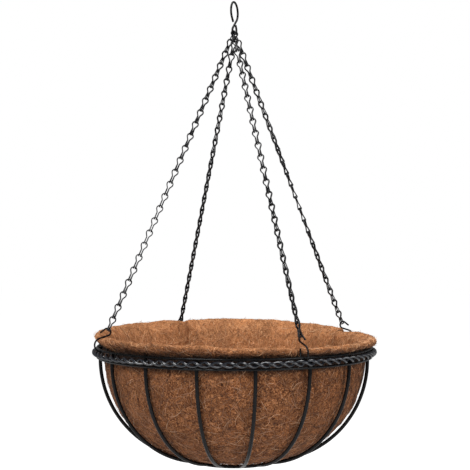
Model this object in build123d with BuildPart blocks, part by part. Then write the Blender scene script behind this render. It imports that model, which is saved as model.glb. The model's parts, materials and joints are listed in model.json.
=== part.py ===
from build123d import *
from math import acos, atan2, cos, degrees, hypot, radians, sin, sqrt, tan
import os

# Hanging basket: a wire bowl with a coconut-fibre liner, hung on four wire-link chains
# from one top hook. Millimetres, +Z up. The origin is the inner top of the hook's
# crook, where it sits on its bracket, so the whole basket hangs below it.

os.makedirs("parts", exist_ok=True)

# --- Driving dimensions -------------------------------------------------------
clearance = 0.1           # between wires that rest on each other

# Top hook
hook_wire = 3.0           # wire diameter
hook_turn = 70.0          # azimuth of the hook's plane, degrees
crook_radius = 14.0       # all hook sizes are to the middle of the wire
crook_above_eye = 30.1    # from the eye's bottom wire up to the crook's centre
crook_sweep = 274.0       # degrees of arc
tip_length = 7.0
eye_width = 16.4
eye_corner = 2.0
neck = (1.7, 13.4)        # across and up from the middle of the eye's bottom wire
eye_shoulder = 5.0
eye_end = (4.9, 12.0)

# Rim: two plain rings with a two-strand wire twist between them
rim_radius = 200.8        # to the outside of the twist
rim_drop = 445.4          # from the eye's bottom wire down to the top ring
ring_wire = 3.2
ring_gap = 12.6           # between the middles of the two rings
strand_wire = 3.4
strand_offset = 2.8       # from the middle of the twist to the middle of a strand
twist_inset = 2.9         # the rings sit this much further in than the twist
twist_turns = 40
points_per_turn = 6

# Ribs and base ring
rib_count = 16
first_rib = -82.0         # azimuth, degrees
rib_wire = 5.0
rib_bend_radius = 144.0
rib_bend_centre = 45.0    # distance of the bend's centre from the basket's axis
bowl_drop = 159.0         # from the top ring down to the middle of the ribs' lowest wire
base_ring_radius = 60.0

# Top links: figures of eight, the two loops square to each other
top_link_wire = 1.7
top_link_length = 14.7    # between the middles of the wire at its two ends
top_link_loop = 3.0
waist_half = 0.7          # half the distance between the two legs at the waist
waist_overlap = 0.8       # how far each loop's legs run past the waist

# Chains: each link is a closed wire loop with a round eye at each end, folded double
# so that its two eyes lie side by side round the fold of the link above
link_count = 24
link_wire = 1.5
link_eye_radius = 4.2
link_eye_half = 0.78      # from the link's middle plane to the middle of either eye
link_fold_half = 2.9      # the same at the fold
link_fold_corner = 1.3
link_leg_half = 1.35      # from the link's axis to either leg
link_waist_drop = 10.2    # from the top of the eyes to where the legs turn straight down
link_waist_bend = 3.0
link_play = 0.2

# S-hooks, in their own plane: outward from, and up the chain from, the rim ring
s_wire = 2.4
s_lower_centre = (0.4, 6.8)
s_lower_radius = 9.7
s_lower_tip = 130.0       # degrees
s_upper_centre = (0.4, 26.0)
s_upper_radius = 5.0
s_upper_tip = 31.0        # degrees
s_tip_length = 8.5
s_play = 0.65             # lets the S-hook rock a little on the rim

# Coir liner
liner_wall = 9.0
liner_bend_radius = 138.0
liner_bend_centre = 44.0
liner_bend_top = -5.0     # degrees, where the bend meets the side
liner_base_gap = 0.5      # above the ribs' lowest wire
lip_radius = 197.5        # outer edge of the lip
lip_rise = 17.0           # lip above the top ring
liner_lift = 8.0          # how far the liner can rise before it meets the S-hooks
liner_rib_gap = 0.7       # between the liner and the ribs at the rim
liner_taper = 2.0         # how much narrower the liner is at the bottom ring
lip_lean = 6.0            # how far the lip's last part leans out
lip_edge_low = 3.0        # the outer edge lies this far below the top of the lip
lip_bend_low = 8.0        # and the bend that starts the lean lies this far below it
lip_crown = (5.0, 14.0, 4.0)  # in to the top edge, in to the inner edge, and its drop
notch_width = 8.0
notch_inner = 14.2        # from the top ring's wire in to the S-hook's inner leg
notch_reach = 20.0        # how far the lip is cut further in, where the S-hook crosses it
pocket_drop = 6.0         # below the top ring, under the S-hook's lower loop
notch_rise = 14.5         # above the top ring, under the S-hook's upper bend
notch_block = (30.0, 60.0)  # length outward and height of the cut

# Each chain: azimuth of its rim end, place on the eye's bottom wire, whole half-turns
# of twist added on the way down, and the stretch of its length that twists.
chains = {
    "front_left": (198.5, -1.9, 0, (0.10, 0.90)),
    "back_right": (27.5, 1.9, 1, (0.07, 1.00)),
    "front_right": (-62.5, -5.6, 0, (0.45, 0.91)),
    "back_left": (117.5, 5.6, 0, (0.05, 0.47)),
}

# --- Places that follow from them ----------------------------------------------
up = Vector(0, 0, 1)
crook_z = hook_wire / 2 - crook_radius
eye_z = crook_z - crook_above_eye
ring_radius = rim_radius - strand_offset - strand_wire / 2 - twist_inset
twist_radius = ring_radius + twist_inset
top_ring_z = eye_z - rim_drop
bottom_ring_z = top_ring_z - ring_gap
twist_z = top_ring_z - ring_gap / 2
base_z = top_ring_z - bowl_drop
hook_across = Vector(cos(radians(hook_turn)), sin(radians(hook_turn)), 0)
hook_normal = hook_across.cross(up)


def radial(azimuth):
    """The unit vector that points outward at this azimuth."""
    return Vector(cos(radians(azimuth)), sin(radians(azimuth)), 0)


def upright(azimuth):
    """The vertical plane through the axis at this azimuth: X outward, Y up."""
    return Plane(origin=(0, 0, 0), x_dir=radial(azimuth), z_dir=radial(azimuth).cross(up))


def tangent_angle(centre, radius, point, side):
    """The angle at which a line from the point touches the circle, in degrees.
    side is +1 or -1 for the touch that lies anticlockwise or clockwise."""
    across, rise = point[0] - centre[0], point[1] - centre[1]
    half = acos(radius / hypot(across, rise))
    return degrees(atan2(rise, across) + side * half)


def on_circle(centre, radius, angle):
    """The point of a circle at this angle."""
    return (
        centre[0] + radius * cos(radians(angle)),
        centre[1] + radius * sin(radians(angle)),
    )


def cross_section(route, diameter):
    """The round section of a wire, square to the start of its route."""
    with BuildSketch(Plane(origin=route @ 0, z_dir=route % 0)) as section:
        Circle(diameter / 2)
    return section.sketch


def save(part, name):
    """Labels a finished piece and writes it under its own name."""
    part.label = name
    export_step(part, f"parts/{name}.step")


# --- Top hook -------------------------------------------------------------------
crook_centre = (0, crook_z)
neck_point = (neck[0], eye_z + neck[1])
crook_start = tangent_angle(crook_centre, crook_radius, neck_point, 1)
eye_route = [
    on_circle(crook_centre, crook_radius, crook_start),
    neck_point,
    (-eye_width / 2, eye_z + eye_shoulder),
    (-eye_width / 2, eye_z),
    (eye_width / 2, eye_z),
    (eye_width / 2, eye_z + eye_shoulder + eye_corner),
    (eye_end[0], eye_z + eye_end[1]),
]
with BuildPart() as top_hook:
    with BuildLine(upright(hook_turn)) as hook_line:
        crook = CenterArc(crook_centre, crook_radius, crook_start, crook_sweep)
        Line(crook @ 1, crook @ 1 + tip_length * (crook % 1))
        FilletPolyline(*eye_route, radius=eye_corner)
    hook_route = hook_line.wire()
    sweep(sections=cross_section(hook_route, hook_wire), path=hook_route)
save(top_hook.part, "top_hook")

# --- Rim ------------------------------------------------------------------------
with BuildPart() as rim_top_ring:
    with Locations((0, 0, top_ring_z)):
        Torus(ring_radius, ring_wire / 2)
save(rim_top_ring.part, "rim_top_ring")

with BuildPart() as rim_bottom_ring:
    with Locations((0, 0, bottom_ring_z)):
        Torus(ring_radius, ring_wire / 2)
save(rim_bottom_ring.part, "rim_bottom_ring")

# The twist is as long as the rim, and its strands lie side by side at each chain.
turn_angle = 360 / twist_turns
twist_start = chains["front_right"][0]


def strand_point(turns):
    """A corner of the strand's route after this many turns of the twist."""
    phase = radians(360 * turns)
    outward = twist_radius + strand_offset * cos(phase)
    place = outward * radial(twist_start + turn_angle * turns)
    return place + Vector(0, 0, twist_z - strand_offset * sin(phase))


corners = [strand_point((k + 0.5) / points_per_turn) for k in range(-1, points_per_turn + 1)]
corners[0] = (corners[0] + corners[1]) / 2
corners[-1] = (corners[-1] + corners[-2]) / 2
run = (corners[2] - corners[1]).length
bend = (corners[2] - corners[1]).get_angle(corners[3] - corners[2])
strand_bend_radius = 0.45 * run / tan(radians(bend / 2))
with BuildPart() as one_turn:
    with BuildLine() as turn_line:
        FilletPolyline(*corners, radius=strand_bend_radius)
    turn_route = turn_line.wire()
    sweep(sections=cross_section(turn_route, strand_wire), path=turn_route)

for strand, first_angle in (("a", 0), ("b", turn_angle / 2)):
    with BuildPart() as rim_twist_strand:
        with PolarLocations(0, twist_turns, start_angle=first_angle):
            add(one_turn.part)
    save(rim_twist_strand.part, f"rim_twist_strand_{strand}")

# --- Ribs and base ring -----------------------------------------------------------
# Each rib runs straight down inside both rings, bends in and ends on the base ring.
rib_top = (ring_radius - (ring_wire + rib_wire) / 2 - clearance, top_ring_z + ring_wire / 2)
rib_bend = (rib_bend_centre, base_z + rib_bend_radius)
rib_bend_start = tangent_angle(rib_bend, rib_bend_radius, rib_top, -1)
rib_reach = base_ring_radius + rib_wire / 2 - rib_bend_centre
rib_bend_end = -degrees(acos(rib_reach / rib_bend_radius))
for index in range(rib_count):
    azimuth = first_rib + index * 360 / rib_count
    with BuildPart() as rib:
        with BuildLine(upright(azimuth)) as rib_line:
            Line(rib_top, on_circle(rib_bend, rib_bend_radius, rib_bend_start))
            CenterArc(rib_bend, rib_bend_radius, rib_bend_start, rib_bend_end - rib_bend_start)
        rib_route = rib_line.wire()
        sweep(sections=cross_section(rib_route, rib_wire), path=rib_route)
    save(rib.part, f"rib_{index + 1:02d}")

with BuildPart() as base_ring:
    with Locations((0, 0, base_z)):
        Torus(base_ring_radius, rib_wire / 2)
save(base_ring.part, "base_ring")

# --- Chains and S-hooks -------------------------------------------------------------
s_shank = (s_upper_centre[0] - s_lower_centre[0], s_upper_centre[1] - s_lower_centre[1])
s_shank_angle = degrees(
    atan2(s_shank[1], s_shank[0]) - acos((s_lower_radius + s_upper_radius) / hypot(*s_shank))
)
s_hook_reach = s_upper_centre[1] + s_upper_radius
hang_gap = (hook_wire + top_link_wire) / 2 + clearance


def nesting(radius, thickness, half):
    """How far a wire bend of this radius laps over a pair of wires this far from its axis,
    when the middles of the wires come this thickness apart."""
    return radius - sqrt((radius - thickness) ** 2 - half**2)


top_lap = nesting(link_eye_radius, (top_link_wire + link_wire) / 2 + link_play, 0)
link_lap = nesting(link_eye_radius, link_wire + link_play, link_leg_half)
s_lap = nesting(s_upper_radius, (s_wire + link_wire) / 2 + clearance, link_leg_half) + s_play
link_start = top_link_length - hang_gap - top_lap


def make_top_link():
    """A figure of eight, standing up with its waist at the origin: two teardrop loops."""
    with BuildPart() as link:
        for plane, facing in ((Plane.XZ, 1), (Plane.YZ, -1)):
            loop_centre = (0, facing * (top_link_length / 2 - top_link_loop))
            leg_end = (waist_half, -facing * waist_overlap)
            touch = tangent_angle(loop_centre, top_link_loop, leg_end, facing)
            sweep_angle = 2 * (90 - facing * touch) if facing > 0 else -2 * (90 + touch)
            with BuildLine(plane) as loop_line:
                Line(leg_end, on_circle(loop_centre, top_link_loop, touch))
                arc = CenterArc(loop_centre, top_link_loop, touch, sweep_angle)
                Line(arc @ 1, (-waist_half, -facing * waist_overlap))
            loop_route = loop_line.wire()
            sweep(sections=cross_section(loop_route, top_link_wire), path=loop_route)
    return link.part


def make_link(length):
    """A folded link, standing up with its middle at the origin and its eyes at the top."""
    top, bottom = length / 2, -length / 2
    eye_centre = (0, top - link_eye_radius)
    waist = (link_leg_half, top - link_waist_drop)
    touch = tangent_angle(eye_centre, link_eye_radius, waist, 1)
    eye_across, eye_rise = on_circle(eye_centre, link_eye_radius, touch)
    with BuildPart() as half_link:
        with BuildLine() as half_line:
            for side in (1, -1):
                FilletPolyline(
                    (side * link_leg_half, 0, bottom),
                    (side * link_leg_half, link_fold_half, bottom),
                    (side * waist[0], link_eye_half, waist[1]),
                    (side * eye_across, link_eye_half, eye_rise),
                    radius=[link_fold_corner, link_waist_bend],
                )
            ThreePointArc(
                (eye_across, link_eye_half, eye_rise),
                (0, link_eye_half, top),
                (-eye_across, link_eye_half, eye_rise),
            )
        half_route = half_line.wire()
        sweep(sections=cross_section(half_route, link_wire), path=half_route)
    with BuildPart() as link:
        with PolarLocations(0, 2):
            add(half_link.part)
    return link.part


top_link_shape = make_top_link()


def ramp(share, start, end):
    """Rises from 0 to 1 as the share goes from start to end."""
    return min(1, max(0, (share - start) / (end - start)))


for name, (azimuth, eye_place, half_turns, stretch) in chains.items():
    hang_point = eye_place * hook_across + eye_z * up
    rim_point = ring_radius * radial(azimuth) + top_ring_z * up
    down = (rim_point - hang_point).normalized()
    chain_span = (rim_point - hang_point).length - s_hook_reach
    pitch = (chain_span + s_lap - link_start - link_lap) / link_count
    link_length = pitch + link_lap
    link_shape = make_link(link_length)

    # The first eyes face along the hook's eye, and the last fold lies square to the S-hook.
    first_facing = hook_normal.cross(down).normalized()
    last_facing = radial(azimuth + 90)
    twist = first_facing.get_signed_angle(last_facing, down)
    twist = (twist + 90) % 180 - 90 + 180 * half_turns
    places = []
    for index in range(link_count):
        middle = hang_point + (link_start + index * pitch + link_length / 2) * down
        angle = twist * ramp(index / (link_count - 1), *stretch)
        facing = first_facing.rotate(Axis((0, 0, 0), down), angle)
        places.append(Plane(origin=middle, x_dir=facing.cross(-down), z_dir=-down).location)

    top_middle = hang_point + (top_link_length / 2 - hang_gap) * down
    top_plane = Plane(origin=top_middle, x_dir=first_facing.cross(-down), z_dir=-down)
    with BuildPart() as top_link:
        with Locations(top_plane.location):
            add(top_link_shape)
    save(top_link.part, f"top_link_{name}")

    with BuildPart() as chain:
        with Locations(*places):
            add(link_shape)
    save(chain.part, f"chain_{name}")

    outward = (radial(azimuth) - radial(azimuth).dot(down) * down).normalized()
    hook_plane = Plane(origin=rim_point, x_dir=outward, z_dir=outward.cross(-down))
    lower_sweep = 360 - s_lower_tip + s_shank_angle
    with BuildPart() as s_hook:
        with BuildLine(hook_plane) as s_line:
            lower = CenterArc(s_lower_centre, s_lower_radius, s_lower_tip, lower_sweep)
            upper_start = s_shank_angle + 180
            upper = CenterArc(
                s_upper_centre, s_upper_radius, upper_start, s_upper_tip - upper_start
            )
            Line(lower @ 1, upper @ 0)
            Line(upper @ 1, upper @ 1 + s_tip_length * (upper % 1))
        s_route = s_line.wire()
        sweep(sections=cross_section(s_route, s_wire), path=s_route)
    save(s_hook.part, f"s_hook_{name}")

# --- Coir liner -----------------------------------------------------------------------
# A moulded bowl of even wall. Its lip leans out over the rim, and is notched where the
# S-hooks cross it, deep enough for the liner to rise a little.
liner_base = base_z + rib_wire / 2 + liner_base_gap
liner_bend = (liner_bend_centre, liner_base + liner_bend_radius)
inner_bend_radius = liner_bend_radius - liner_wall
lip_z = top_ring_z + lip_rise
rim_face = rib_top[0] - rib_wire / 2 - liner_rib_gap
outer_wall = [
    on_circle(liner_bend, liner_bend_radius, liner_bend_top),
    (rim_face - liner_taper, bottom_ring_z - ring_wire / 2),
    (rim_face, top_ring_z + ring_wire / 2),
    (lip_radius - lip_lean, lip_z - lip_bend_low),
    (lip_radius, lip_z - lip_edge_low),
]
inner_wall = [
    (lip_radius - lip_crown[0], lip_z),
    (lip_radius - lip_crown[1], lip_z - lip_crown[2]),
    (rim_face - liner_wall, top_ring_z),
    on_circle(liner_bend, inner_bend_radius, liner_bend_top),
]
with BuildPart() as coir_liner:
    with BuildSketch(Plane.XZ):
        with BuildLine():
            Line((0, liner_base), (liner_bend_centre, liner_base))
            CenterArc(liner_bend, liner_bend_radius, -90, 90 + liner_bend_top)
            Polyline(*outer_wall, *inner_wall)
            CenterArc(liner_bend, inner_bend_radius, liner_bend_top, -90 - liner_bend_top)
            Line((liner_bend_centre, liner_base + liner_wall), (0, liner_base + liner_wall))
            Line((0, liner_base + liner_wall), (0, liner_base))
        make_face()
    revolve(axis=Axis.Z)
    inner_leg = ring_radius - notch_inner
    pocket_base = top_ring_z - pocket_drop - liner_lift
    notch_base = top_ring_z + notch_rise - liner_lift
    align = (Align.MIN, Align.CENTER, Align.MIN)
    block, height = notch_block
    for azimuth, *_ in chains.values():
        with Locations((0, 0, pocket_base)):
            with PolarLocations(inner_leg, 1, start_angle=azimuth):
                Box(block, notch_width, height, align=align, mode=Mode.SUBTRACT)
        with Locations((0, 0, notch_base)):
            with PolarLocations(inner_leg - notch_reach, 1, start_angle=azimuth):
                Box(block + notch_reach, notch_width, height, align=align, mode=Mode.SUBTRACT)
save(coir_liner.part, "coir_liner")
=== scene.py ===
import json
import math

import bmesh
import bpy
import numpy as np
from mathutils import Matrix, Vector, noise


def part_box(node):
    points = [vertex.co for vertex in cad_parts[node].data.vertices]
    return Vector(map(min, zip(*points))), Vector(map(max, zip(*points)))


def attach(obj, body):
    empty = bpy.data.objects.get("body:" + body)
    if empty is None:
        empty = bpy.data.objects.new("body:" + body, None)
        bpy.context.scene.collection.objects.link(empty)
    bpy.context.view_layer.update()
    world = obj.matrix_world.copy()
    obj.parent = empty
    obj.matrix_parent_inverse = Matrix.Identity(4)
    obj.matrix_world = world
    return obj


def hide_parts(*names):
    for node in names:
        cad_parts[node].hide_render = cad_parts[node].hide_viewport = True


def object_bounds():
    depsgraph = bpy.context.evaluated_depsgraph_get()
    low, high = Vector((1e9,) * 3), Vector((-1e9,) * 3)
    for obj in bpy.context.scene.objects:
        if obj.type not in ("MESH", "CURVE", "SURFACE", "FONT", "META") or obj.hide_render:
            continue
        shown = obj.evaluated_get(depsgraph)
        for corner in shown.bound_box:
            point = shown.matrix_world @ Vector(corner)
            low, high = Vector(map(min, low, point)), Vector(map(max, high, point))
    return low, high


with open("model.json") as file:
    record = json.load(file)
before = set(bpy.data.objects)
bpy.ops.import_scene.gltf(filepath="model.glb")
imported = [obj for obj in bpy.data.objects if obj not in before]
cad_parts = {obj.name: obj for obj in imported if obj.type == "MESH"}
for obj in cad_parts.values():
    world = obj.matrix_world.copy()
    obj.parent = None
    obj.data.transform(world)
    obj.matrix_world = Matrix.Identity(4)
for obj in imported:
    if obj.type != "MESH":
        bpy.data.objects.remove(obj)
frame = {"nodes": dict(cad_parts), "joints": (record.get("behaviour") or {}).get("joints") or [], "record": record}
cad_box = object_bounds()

# Hanging basket: coir liner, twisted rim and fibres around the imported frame. Metres.

# --- Places read from the frame ---------------------------------------------------
record = frame["record"]
joints = {j["name"]: j for j in frame["joints"]}
chain_names = [n[len("chain_twist_"):] for n in joints if n.startswith("chain_twist_")]
rim_points = {n: Vector(joints["chain_twist_" + n]["pos_m"]) for n in chain_names}
chain_angles = [math.atan2(p.y, p.x) for p in rim_points.values()]

top_ring_low, top_ring_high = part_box("rim_top_ring")
low_ring_low, low_ring_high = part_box("rim_bottom_ring")
liner_low, liner_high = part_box("coir_liner")
base_low, base_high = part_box("base_ring")

ring_wire = top_ring_high.z - top_ring_low.z
ring_radius = top_ring_high.x - ring_wire / 2
top_ring_z = (top_ring_low.z + top_ring_high.z) / 2
low_ring_z = (low_ring_low.z + low_ring_high.z) / 2
rib_nodes = sorted(n for n in frame["nodes"] if n.startswith("rib_"))


def rib_angle(node):
    """The azimuth of a rib, from the middle of its box."""
    low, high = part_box(node)
    return math.atan2(low.y + high.y, low.x + high.x)


rib_angles = [rib_angle(n) for n in rib_nodes]
rib_wire = base_high.z - base_low.z
rib_face = ring_radius - ring_wire / 2 - rib_wire - 0.0001  # inner side of the ribs at the rim


# --- Materials ----------------------------------------------------------------------
def new_material(name):
    """A node material with its Principled shader and a texture coordinate node."""
    material = bpy.data.materials.new(name)
    material.use_nodes = True
    tree = material.node_tree
    shader = tree.nodes["Principled BSDF"]
    place = tree.nodes.new("ShaderNodeTexCoord")
    return material, tree, shader, place.outputs["Object"]


def noise_node(tree, place, scale, detail=4.0, roughness=0.6, distortion=0.0):
    node = tree.nodes.new("ShaderNodeTexNoise")
    node.inputs["Scale"].default_value = scale
    node.inputs["Detail"].default_value = detail
    node.inputs["Roughness"].default_value = roughness
    node.inputs["Distortion"].default_value = distortion
    tree.links.new(place, node.inputs["Vector"])
    return node.outputs["Fac"]


def ramp_node(tree, value, stops):
    """A colour ramp; stops are (position, colour)."""
    node = tree.nodes.new("ShaderNodeValToRGB")
    ramp = node.color_ramp
    while len(ramp.elements) < len(stops):
        ramp.elements.new(0.5)
    for element, (position, colour) in zip(ramp.elements, stops):
        element.position = position
        element.color = (*colour, 1) if len(colour) == 3 else colour
    tree.links.new(value, node.inputs["Fac"])
    return node.outputs["Color"]


def grey(value):
    return (value, value, value)


def math_node(tree, operation, a, b):
    node = tree.nodes.new("ShaderNodeMath")
    node.operation = operation
    for socket, given in zip(node.inputs, (a, b)):
        if isinstance(given, (int, float)):
            socket.default_value = given
        else:
            tree.links.new(given, socket)
    return node.outputs[0]


def mix_node(tree, factor, a, b, blend="MIX"):
    node = tree.nodes.new("ShaderNodeMix")
    node.data_type = "RGBA"
    node.blend_type = blend
    for socket, given in ((node.inputs[0], factor), (node.inputs[6], a), (node.inputs[7], b)):
        if isinstance(given, (int, float)):
            socket.default_value = given
        elif isinstance(given, tuple):
            socket.default_value = (*given, 1)
        else:
            tree.links.new(given, socket)
    return node.outputs[2]


def add_bump(tree, shader, height, strength, distance):
    node = tree.nodes.new("ShaderNodeBump")
    node.inputs["Strength"].default_value = strength
    node.inputs["Distance"].default_value = distance
    tree.links.new(height, node.inputs["Height"])
    tree.links.new(node.outputs["Normal"], shader.inputs["Normal"])


def metal_material(name, dark, light, roughness, orange_peel, shine):
    """Black powder coat over wire: near-black, a little mottled, with a fine orange peel."""
    material, tree, shader, place = new_material(name)
    patches = noise_node(tree, place, 60, 3)
    tree.links.new(ramp_node(tree, patches, [(0.35, dark), (0.75, light)]), shader.inputs["Base Color"])
    dust = noise_node(tree, place, 240, 4, 0.7)
    rough = ramp_node(tree, dust, [(0.3, grey(roughness - 0.07)), (0.8, grey(roughness + 0.12))])
    tree.links.new(rough, shader.inputs["Roughness"])
    shader.inputs["Metallic"].default_value = 0.0
    shader.inputs["Specular IOR Level"].default_value = shine
    peel = noise_node(tree, place, 900, 2, 0.5)
    add_bump(tree, shader, peel, orange_peel, 0.0003)
    return material


def coir_material(name):
    """Matted coconut fibre: tan, rust and dark brown streaks in every direction."""
    material, tree, shader, place = new_material(name)
    streaks = noise_node(tree, place, 300, 6, 0.72, 1.6)
    clumps = noise_node(tree, place, 38, 5, 0.62, 0.8)
    specks = noise_node(tree, place, 620, 3, 0.6, 2.2)
    patches = noise_node(tree, place, 9, 3, 0.5)
    outer = ramp_node(tree, streaks, [
        (0.36, (0.022, 0.007, 0.002)),
        (0.45, (0.120, 0.040, 0.014)),
        (0.53, (0.270, 0.105, 0.040)),
        (0.64, (0.560, 0.265, 0.120)),
    ])
    inner = ramp_node(tree, streaks, [
        (0.32, (0.110, 0.036, 0.012)),
        (0.43, (0.330, 0.135, 0.052)),
        (0.54, (0.540, 0.250, 0.110)),
        (0.68, (0.760, 0.430, 0.225)),
    ])
    # The inside of the liner is coloured lighter than the outside.
    side = tree.nodes.new("ShaderNodeAttribute")
    side.attribute_name = "inside"
    colour = mix_node(tree, side.outputs["Fac"], outer, inner)
    colour = mix_node(tree, 0.75, colour, ramp_node(tree, clumps, [
        (0.30, grey(0.62)), (0.50, grey(0.95)), (0.70, (1.18, 1.12, 1.05)),
    ]), "MULTIPLY")
    colour = mix_node(tree, 0.6, colour, ramp_node(tree, patches, [
        (0.35, (0.80, 0.76, 0.72)), (0.65, (1.14, 1.08, 1.02)),
    ]), "MULTIPLY")
    colour = mix_node(tree, 0.55, colour, ramp_node(tree, specks, [
        (0.36, grey(0.35)), (0.47, grey(1.0)), (0.62, grey(1.0)), (0.72, (1.5, 1.4, 1.25)),
    ]), "MULTIPLY")
    # Painted shade: where the shade attribute is set, behind the rim, the colour is mixed towards near-black.
    shade = tree.nodes.new("ShaderNodeAttribute")
    shade.attribute_name = "shade"
    colour = mix_node(tree, shade.outputs["Fac"], colour, grey(0.006))
    tree.links.new(colour, shader.inputs["Base Color"])
    shader.inputs["Roughness"].default_value = 0.92
    shader.inputs["Specular IOR Level"].default_value = 0.2
    height = math_node(tree, "ADD", streaks, math_node(tree, "MULTIPLY", specks, 0.6))
    add_bump(tree, shader, height, 0.9, 0.0016)
    return material


def fibre_material():
    """Single coconut fibres, each with a tone of its own."""
    material, tree, shader, place = new_material("coir_fibre")
    tone = tree.nodes.new("ShaderNodeAttribute")
    tone.attribute_name = "tone"
    along = noise_node(tree, place, 90, 3, 0.6)
    outer = ramp_node(tree, tone.outputs["Fac"], [
        (0.0, (0.018, 0.007, 0.003)),
        (0.35, (0.120, 0.048, 0.022)),
        (0.70, (0.330, 0.155, 0.080)),
        (1.0, (0.680, 0.430, 0.270)),
    ])
    inner = ramp_node(tree, tone.outputs["Fac"], [
        (0.0, (0.080, 0.028, 0.010)),
        (0.35, (0.350, 0.145, 0.058)),
        (0.70, (0.620, 0.310, 0.145)),
        (1.0, (0.850, 0.560, 0.330)),
    ])
    # The fibres on the inside are coloured lighter than those on the outside.
    side = tree.nodes.new("ShaderNodeAttribute")
    side.attribute_name = "inside"
    colour = mix_node(tree, side.outputs["Fac"], outer, inner)
    colour = mix_node(tree, 0.5, colour, ramp_node(tree, along, [
        (0.3, grey(0.7)), (0.7, grey(1.15)),
    ]), "MULTIPLY")
    # Painted shade: where the shade attribute is set, behind the rim, the fibre colour is mixed towards
    # near-black.
    shade = tree.nodes.new("ShaderNodeAttribute")
    shade.attribute_name = "shade"
    colour = mix_node(tree, shade.outputs["Fac"], colour, grey(0.006))
    tree.links.new(colour, shader.inputs["Base Color"])
    shader.inputs["Roughness"].default_value = 0.6
    shader.inputs["Specular IOR Level"].default_value = 0.35
    return material


black_metal = metal_material("black_metal", (0.002, 0.002, 0.002), (0.005, 0.005, 0.006), 0.26, 0.12, 0.16)
# The twist is the same black coat as the ribs and rings, with a lighter, bluish base colour as a painted highlight
# and more shine.
twist_metal = metal_material("twist_metal", (0.005, 0.006, 0.009), (0.016, 0.019, 0.026), 0.16, 0.10, 0.75)
chain_metal = metal_material("chain_metal", (0.003, 0.003, 0.004), (0.010, 0.011, 0.013), 0.22, 0.08, 0.35)
coir = coir_material("coir")
fibre = fibre_material()


# --- Mesh helpers -------------------------------------------------------------------
def mesh_object(name, points, faces, material, smooth=True):
    mesh = bpy.data.meshes.new(name)
    mesh.from_pydata([tuple(p) for p in points], [], [tuple(int(i) for i in f) for f in faces])
    mesh.update()
    if smooth:
        mesh.shade_smooth()
    mesh.materials.append(material)
    piece = bpy.data.objects.new(name, mesh)
    bpy.context.scene.collection.objects.link(piece)
    return piece


def set_attribute(piece, name, values):
    """Stores one number for each point of a mesh."""
    attribute = piece.data.attributes.new(name, "FLOAT", "POINT")
    attribute.data.foreach_set("value", np.asarray(values, np.float32))


def smoothstep(low, high, value):
    t = np.clip((value - low) / (high - low), 0, 1)
    return t * t * (3 - 2 * t)


def closed_tube(route, radius, sides):
    """Points and faces of a round tube along a closed route."""
    route = np.asarray(route)
    ahead = np.roll(route, -1, 0) - np.roll(route, 1, 0)
    ahead /= np.linalg.norm(ahead, axis=1)[:, None]
    outward = route * (1, 1, 0)
    outward /= np.linalg.norm(outward, axis=1)[:, None]
    side = np.cross(ahead, outward)
    side /= np.linalg.norm(side, axis=1)[:, None]
    across = np.cross(side, ahead)
    angles = np.arange(sides) * 2 * math.pi / sides
    points = (
        route[:, None]
        + radius * np.cos(angles)[None, :, None] * across[:, None]
        + radius * np.sin(angles)[None, :, None] * side[:, None]
    ).reshape(-1, 3)
    count = len(route)
    i, j = np.meshgrid(np.arange(count), np.arange(sides), indexing="ij")
    i2, j2 = (i + 1) % count, (j + 1) % sides
    faces = np.stack([i * sides + j, i2 * sides + j, i2 * sides + j2, i * sides + j2], -1)
    return points, faces.reshape(-1, 4)


# --- Rim twist ----------------------------------------------------------------------
twist_turns = 40
strand_wire = 0.0034
strand_offset = 0.0028
twist_radius = ring_radius + 0.0029
twist_z = (top_ring_z + low_ring_z) / 2
twist_start = math.atan2(rim_points["front_right"].y, rim_points["front_right"].x)


def make_strand(letter, shift):
    """One strand of the twist, a smooth helix bent round the rim."""
    turns = np.arange(twist_turns * 28) / 28
    phase = 2 * math.pi * (turns + shift)
    azimuth = twist_start + 2 * math.pi * turns / twist_turns
    radius = twist_radius + strand_offset * np.cos(phase)
    route = np.stack([
        radius * np.cos(azimuth),
        radius * np.sin(azimuth),
        twist_z - strand_offset * np.sin(phase),
    ], -1)
    points, faces = closed_tube(route, strand_wire / 2, 12)
    piece = mesh_object("twist_strand_" + letter, points, faces, twist_metal)
    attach(piece, "basket")
    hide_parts("rim_twist_strand_" + letter)


make_strand("a", 0.0)
make_strand("b", 0.5)


# --- Weld beads -----------------------------------------------------------------------
bead_size = 0.0015


def make_beads(name, places):
    """Small uneven beads of weld, one at each place, as one mesh."""
    shape = bmesh.new()
    bmesh.ops.create_icosphere(shape, subdivisions=2, radius=1)
    ball = np.array([v.co for v in shape.verts])
    sides = np.array([[v.index for v in f.verts] for f in shape.faces])
    shape.free()
    points, faces = [], []
    for k, place in enumerate(places):
        swell = [1 + 0.35 * noise.noise(Vector(p) * 1.4 + Vector((k * 2.3, 0, 0))) for p in ball]
        stretch = (1, 1, 1.25)
        faces.append(sides + k * len(ball))
        points.append(np.asarray(place) + bead_size * ball * np.array(swell)[:, None] * stretch)
    piece = mesh_object(name, np.concatenate(points), np.concatenate(faces), black_metal)
    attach(piece, "basket")


def rib_places(radius, z):
    """A place on each side of every rib at this radius and height."""
    step = 0.42 * rib_wire / radius
    angles = [angle + side * step for angle in rib_angles for side in (-1, 1)]
    return [(radius * math.cos(a), radius * math.sin(a), z) for a in angles]


rim_contact = ring_radius - ring_wire / 2
base_contact = base_high.x - rib_wire / 4
make_beads("rim_welds", rib_places(rim_contact, top_ring_z) + rib_places(rim_contact, low_ring_z))
make_beads("base_welds", rib_places(base_contact, (base_low.z + base_high.z) / 2))

# --- Coir liner -----------------------------------------------------------------------
wall = 0.009
base_flat = 0.044
bend_radius = 0.138
base_z = liner_low.z
around = 420
bend_z = base_z + bend_radius
side_angle = math.radians(85)
rim_face = rib_face - 0.0014


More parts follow.
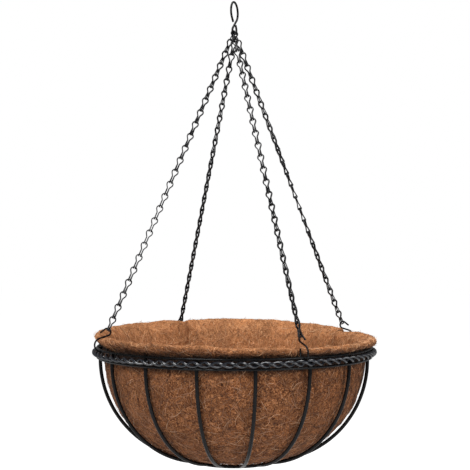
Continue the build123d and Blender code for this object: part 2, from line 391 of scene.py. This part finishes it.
def middle_profile(count):
    """Points down the middle of the wall, from the base's centre to the lip, evenly spaced."""
    inner = bend_radius - wall / 2
    arc = np.linspace(0, side_angle, 40)
    line = [(0.0, base_z + wall / 2)]
    line += [(base_flat + inner * math.sin(a), bend_z - inner * math.cos(a)) for a in arc]
    line += [
        (rim_face - wall / 2 - 0.0022, low_ring_z - 0.003),
        (rim_face - wall / 2, top_ring_z - 0.002),
        (rim_face - wall / 2 + 0.0022, top_ring_z + 0.0045),
        (rim_face - wall / 2 + 0.0068, top_ring_z + 0.0095),
        (rim_face - wall / 2 + 0.0120, top_ring_z + 0.0140),
    ]
    line = np.array(line)
    along = np.concatenate([[0], np.cumsum(np.hypot(*np.diff(line, axis=0).T))])
    at = np.linspace(0, along[-1], count)
    return np.stack([np.interp(at, along, line[:, k]) for k in range(2)], -1)


def smooth_noise(points, scale, seed):
    """Perlin noise at each point, about -1 to 1."""
    shift = Vector((seed * 7.13, seed * 3.71, seed * 5.37))
    return np.array([noise.noise(Vector(p) * scale + shift) for p in points])


def near(angles, azimuth, width):
    """1 at each of the angles, falling off within the width, in radians."""
    total = np.zeros_like(azimuth)
    for angle in angles:
        gap = (azimuth - angle + math.pi) % (2 * math.pi) - math.pi
        total += np.exp(-((gap / width) ** 2))
    return total


def liner_surface():
    """The liner's skin as a grid: rows run from the outside of the base over the lip to the inside."""
    rows = 92
    profile = middle_profile(rows)
    slope = np.gradient(profile, axis=0)
    slope /= np.linalg.norm(slope, axis=1)[:, None]
    outward = np.stack([slope[:, 1], -slope[:, 0]], -1)
    azimuth = np.arange(around) * 2 * math.pi / around
    circle = np.stack([np.cos(azimuth), np.sin(azimuth), np.zeros(around)], -1)

    # Slow waves of the lip, the same for both sides of the wall.
    wave = smooth_noise(circle, 2.6, 1) + 0.6 * smooth_noise(circle, 5.5, 2)
    rise = 0.9 * smooth_noise(circle, 3.1, 3) + 0.5 * smooth_noise(circle, 8.0, 4)
    pinch = near(chain_angles, azimuth, 0.055)
    between = 1 - near(rib_angles, azimuth, 0.10)
    back = np.sin(azimuth)
    left = -np.cos(azimuth)
    height = profile[:, 1]
    near_lip = np.clip((height - top_ring_z) / (height[-1] - top_ring_z), 0, 1)
    near_rim = smoothstep(top_ring_z - 0.022, top_ring_z - 0.004, height)
    ends = left ** 2
    wide_pinch = near(chain_angles, azimuth, 0.11)
    lip_rise = 0.0032 + 0.0052 * back + 0.0034 * left - 0.0045 * ends + 0.0016 * rise
    lip_rise = lip_rise - 0.0045 * wide_pinch * np.clip(0.9 - back, 0.25, 1)
    lip_lean = 0.0002 + 0.0026 * wave - 0.0010 * back + 0.0020 * smoothstep(0.6, 1.0, -left)
    dent = near_rim * 0.0070 + near_lip * 0.0125

    grid, inside = [], []
    layers = [(k, 1.0, 0.0) for k in range(rows)]
    layers += [(rows - 1, 1 - 2 * t, 1.0) for t in np.linspace(0, 1, 8)[1:-1]]
    layers += [(k, -1.0, 0.0) for k in reversed(range(rows))]
    for k, face, cap in layers:
        radius, z = profile[k]
        half = wall / 2 * face
        bulge = wall / 2 * math.sqrt(max(0.0, 1 - face * face)) if cap else 0.0
        r = radius + outward[k, 0] * half + slope[k, 0] * bulge
        h = z + outward[k, 1] * half + slope[k, 1] * bulge
        r = r + near_lip[k] * lip_lean - dent[k] * pinch
        r = r + 0.0010 * between * smoothstep(base_z + 0.03, base_z + 0.09, z) * (1 - near_rim[k])
        h = h + near_lip[k] * lip_rise
        h = h - 0.0012 * between * (1 - smoothstep(base_z + 0.008, base_z + 0.030, z))
        grid.append(np.stack([r * circle[:, 0], r * circle[:, 1], h * np.ones(around)], -1))
        inside.append(np.full(around, (1 - face) / 2 if cap else (0.0 if face > 0 else 1.0)))
    return np.array(grid), np.array(inside)


def grid_normals(grid):
    """The outward direction at each point of the skin."""
    down = np.gradient(grid, axis=0)
    round_ = np.roll(grid, -1, 1) - np.roll(grid, 1, 1)
    normal = np.cross(round_, down)
    length = np.linalg.norm(normal, axis=2)
    length[length < 1e-12] = 1
    return normal / length[..., None]


def lumpy(grid):
    """The skin pushed in and out by lumps and matted tufts."""
    normal = grid_normals(grid)
    flat = grid.reshape(-1, 3)
    lumps = 0.0010 * smooth_noise(flat, 30, 5) + 0.0006 * smooth_noise(flat, 75, 6)
    tufts = 0.0007 * smooth_noise(flat, 190, 7)
    push = (lumps + tufts - 0.0006).reshape(grid.shape[:2])
    push[0] = push[0].mean()
    push[-1] = push[-1].mean()
    return grid + normal * push[..., None], normal


def painted_rim_shade(points, inside):
    """Painted shade: how dark the squeezed band of the liner behind the rim is painted, 0 to 1."""
    z = points[..., 2]
    below = smoothstep(low_ring_z - 0.010, low_ring_z - 0.001, z)
    above = 1 - smoothstep(top_ring_z - 0.001, top_ring_z + 0.009, z)
    return 0.9 * below * above * (inside < 0.5)


def make_liner():
    grid, inside = liner_surface()
    grid, normal = lumpy(grid)
    rows = grid.shape[0]
    i, j = np.meshgrid(np.arange(1, rows - 2), np.arange(around), indexing="ij")
    j2 = (j + 1) % around
    faces = np.stack([i * around + j, i * around + j2, (i + 1) * around + j2, (i + 1) * around + j], -1)
    faces = [tuple(f) for f in faces.reshape(-1, 4)]
    points = grid.reshape(-1, 3)
    first, last = 0, (rows - 1) * around
    for j in range(around):
        j2 = (j + 1) % around
        faces.append((first, around + j2, around + j))
        faces.append((last, (rows - 2) * around + j, (rows - 2) * around + j2))
    used = np.unique([v for f in faces for v in f])
    renumber = -np.ones(len(points), int)
    renumber[used] = np.arange(len(used))
    piece = mesh_object("coir_bowl", points[used], [renumber[list(f)] for f in faces], coir)
    set_attribute(piece, "inside", inside.reshape(-1)[used])
    # Painted shade behind the rim, stored on each point.
    set_attribute(piece, "shade", painted_rim_shade(points, inside.reshape(-1))[used])
    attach(piece, "liner")
    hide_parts("coir_liner")
    return grid, normal, inside


def make_fibres(name, grid, normal, inside, count, row_range, upright, lift, length_range, seed):
    """Loose fibres that lie on the skin. upright is how strongly they follow the wall up and down."""
    random = np.random.default_rng(seed)
    rows = grid.shape[0]
    steps = 5
    row_size = np.linalg.norm(np.gradient(grid, axis=0), axis=2).mean(1)
    ring_size = 2 * math.pi * np.hypot(grid[..., 0], grid[..., 1]).mean(1) / around
    weight = np.zeros(rows)
    low, high = row_range
    weight[low:high] = (row_size * ring_size)[low:high]
    row = random.choice(rows, count, p=weight / weight.sum()) + random.random(count)
    column = random.random(count) * around
    heading = random.normal(math.pi / 2, 0.5, count)
    loose = random.random(count) > upright
    heading[loose] = random.random(loose.sum()) * math.pi
    length = random.uniform(*length_range, count)
    turn = random.normal(0, 0.28, count)
    height = lift * random.gamma(2.0, 0.5, count)
    radius = random.uniform(0.00014, 0.00032, count)
    tone = np.clip(random.beta(2.0, 2.2, count), 0, 1)

    def sample(values, r, c):
        r = np.clip(r, 1, rows - 2.001)
        r0, c0 = np.floor(r).astype(int), np.floor(c).astype(int)
        fr, fc = (r - r0), (c - c0)
        if values.ndim == 3:
            fr, fc = fr[:, None], fc[:, None]
        a = values[r0, c0 % around] * (1 - fc) + values[r0, (c0 + 1) % around] * fc
        b = values[r0 + 1, c0 % around] * (1 - fc) + values[r0 + 1, (c0 + 1) % around] * fc
        return a * (1 - fr) + b * fr

    route = []
    for k in range(steps):
        share = k / (steps - 1)
        index = np.clip(row, 0, rows - 1).astype(int)
        place = sample(grid, row, column)
        out = sample(normal, row, column)
        arch = height * math.sin(math.pi * share) ** 0.7 if lift < 0.001 else height * share ** 1.5
        route.append(place + out * (arch + 0.00005)[:, None])
        stride = length / (steps - 1)
        row = row + stride * np.sin(heading) / row_size[index]
        column = column + stride * np.cos(heading) / np.maximum(ring_size[index], 0.0004)
        heading = heading + turn + random.normal(0, 0.12, count)
    route = np.array(route)
    ahead = np.gradient(route, axis=0)
    ahead /= np.maximum(np.linalg.norm(ahead, axis=2), 1e-9)[..., None]
    helper = np.array([0.31, 0.53, 0.79])
    side = np.cross(ahead, helper)
    side /= np.maximum(np.linalg.norm(side, axis=2), 1e-9)[..., None]
    up = np.cross(ahead, side)
    thin = np.array([0.55, 1, 1, 0.9, 0.4])[:, None, None] * radius[None, :, None]
    points = []
    for corner in range(3):
        angle = 2 * math.pi * corner / 3
        points.append(route + thin * (math.cos(angle) * side + math.sin(angle) * up))
    points = np.stack(points, 2).transpose(1, 0, 2, 3).reshape(-1, 3)
    faces = []
    per = steps * 3
    base = np.arange(count) * per
    for k in range(steps - 1):
        for corner in range(3):
            other = (corner + 1) % 3
            a, b = k * 3 + corner, k * 3 + other
            faces.append(np.stack([base + a, base + b, base + b + 3, base + a + 3], -1))
    faces = np.concatenate(faces)
    ends = np.concatenate([
        np.stack([base + 2, base + 1, base], -1),
        np.stack([base + per - 3, base + per - 2, base + per - 1], -1),
    ])
    piece = mesh_object(name, points, list(faces) + list(ends), fibre, smooth=False)
    set_attribute(piece, "tone", np.repeat(tone, per))
    where = sample(inside, np.clip(row, 1, rows - 2), column)
    set_attribute(piece, "inside", np.repeat(where, per))
    # Painted shade behind the rim, stored for each fibre.
    set_attribute(piece, "shade", np.repeat(painted_rim_shade(route[0], where), per))
    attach(piece, "liner")
    return piece


skin, skin_normal, skin_inside = make_liner()
skin_rows = skin.shape[0]
lip_row = skin_rows // 2
outer_rows = (6, lip_row - 3)
inner_rows = (lip_row + 3, skin_rows - 6)
lip_rows = (lip_row - 14, lip_row + 14)
length = (0.008, 0.028)
make_fibres("fibres_outside", skin, skin_normal, skin_inside, 7400, outer_rows, 0.15, 0.0005, length, 11)
make_fibres("fibres_inside", skin, skin_normal, skin_inside, 7400, inner_rows, 0.45, 0.0005, length, 12)
make_fibres("fibres_lip", skin, skin_normal, skin_inside, 2600, lip_rows, 0.5, 0.0016, (0.005, 0.014), 13)

# --- Metal of the carried-over nodes -------------------------------------------------------
for subpart in record["subparts"]:
    node = frame["nodes"][subpart["node"]]
    if subpart["material_slot"] in ("black_metal", "chain_metal"):
        node.data.materials.clear()
        node.data.materials.append(black_metal if subpart["material_slot"] == "black_metal" else chain_metal)

# --- Stage, light and camera ------------------------------------------------------------------
lowest = cad_box[0].z


def make_floor():
    """A plain pale floor well below the hanging basket."""
    bpy.ops.mesh.primitive_plane_add(size=30, location=(0, 0, lowest - 0.35))
    floor = bpy.context.object
    floor.name = "floor"
    material = bpy.data.materials.new("pale_floor")
    material.use_nodes = True
    tree = material.node_tree
    shader = tree.nodes["Principled BSDF"]
    shader.inputs["Base Color"].default_value = (0.9, 0.9, 0.9, 1)
    shader.inputs["Roughness"].default_value = 1.0
    shader.inputs["Emission Color"].default_value = (1, 1, 1, 1)
    seen = tree.nodes.new("ShaderNodeLightPath").outputs["Is Camera Ray"]
    tree.links.new(math_node(tree, "MULTIPLY", seen, 0.8), shader.inputs["Emission Strength"])
    floor.data.materials.append(material)


def make_light(name, place, aim, size, power):
    light = bpy.data.lights.new(name, "AREA")
    light.shape = "DISK"
    light.size = size
    light.energy = power
    lamp = bpy.data.objects.new(name, light)
    lamp.location = place
    lamp.rotation_euler = (Vector(aim) - Vector(place)).to_track_quat("-Z", "Y").to_euler()
    bpy.context.scene.collection.objects.link(lamp)


def make_world():
    """White all round. What the camera sees is full white, and what lights the basket is softer."""
    world = bpy.data.worlds.new("white")
    world.use_nodes = True
    tree = world.node_tree
    back = tree.nodes["Background"]
    back.inputs["Color"].default_value = (1, 1, 1, 1)
    seen = tree.nodes.new("ShaderNodeLightPath").outputs["Is Camera Ray"]
    strength = math_node(tree, "ADD", math_node(tree, "MULTIPLY", seen, 0.78), 0.22)
    tree.links.new(strength, back.inputs["Strength"])
    bpy.context.scene.world = world


def make_camera():
    data = bpy.data.cameras.new("camera")
    data.sensor_width = 36
    data.lens = 82.6
    data.clip_end = 60
    camera = bpy.data.objects.new("camera", data)
    camera.location = (0, -1.534, -0.3506)
    camera.rotation_euler = (math.radians(90.75), 0, math.radians(-0.03))
    bpy.context.scene.collection.objects.link(camera)
    bpy.context.scene.camera = camera


make_floor()
make_world()
middle = (0, 0, top_ring_z)
make_light("key", (-0.8, -1.6, 0.6), middle, 0.9, 31)
make_light("fill", (1.4, -1.3, 0.1), middle, 1.0, 15)
make_light("top", (0.2, -0.1, 1.3), middle, 0.9, 25)
make_camera()
bpy.context.scene.view_settings.view_transform = "Standard"
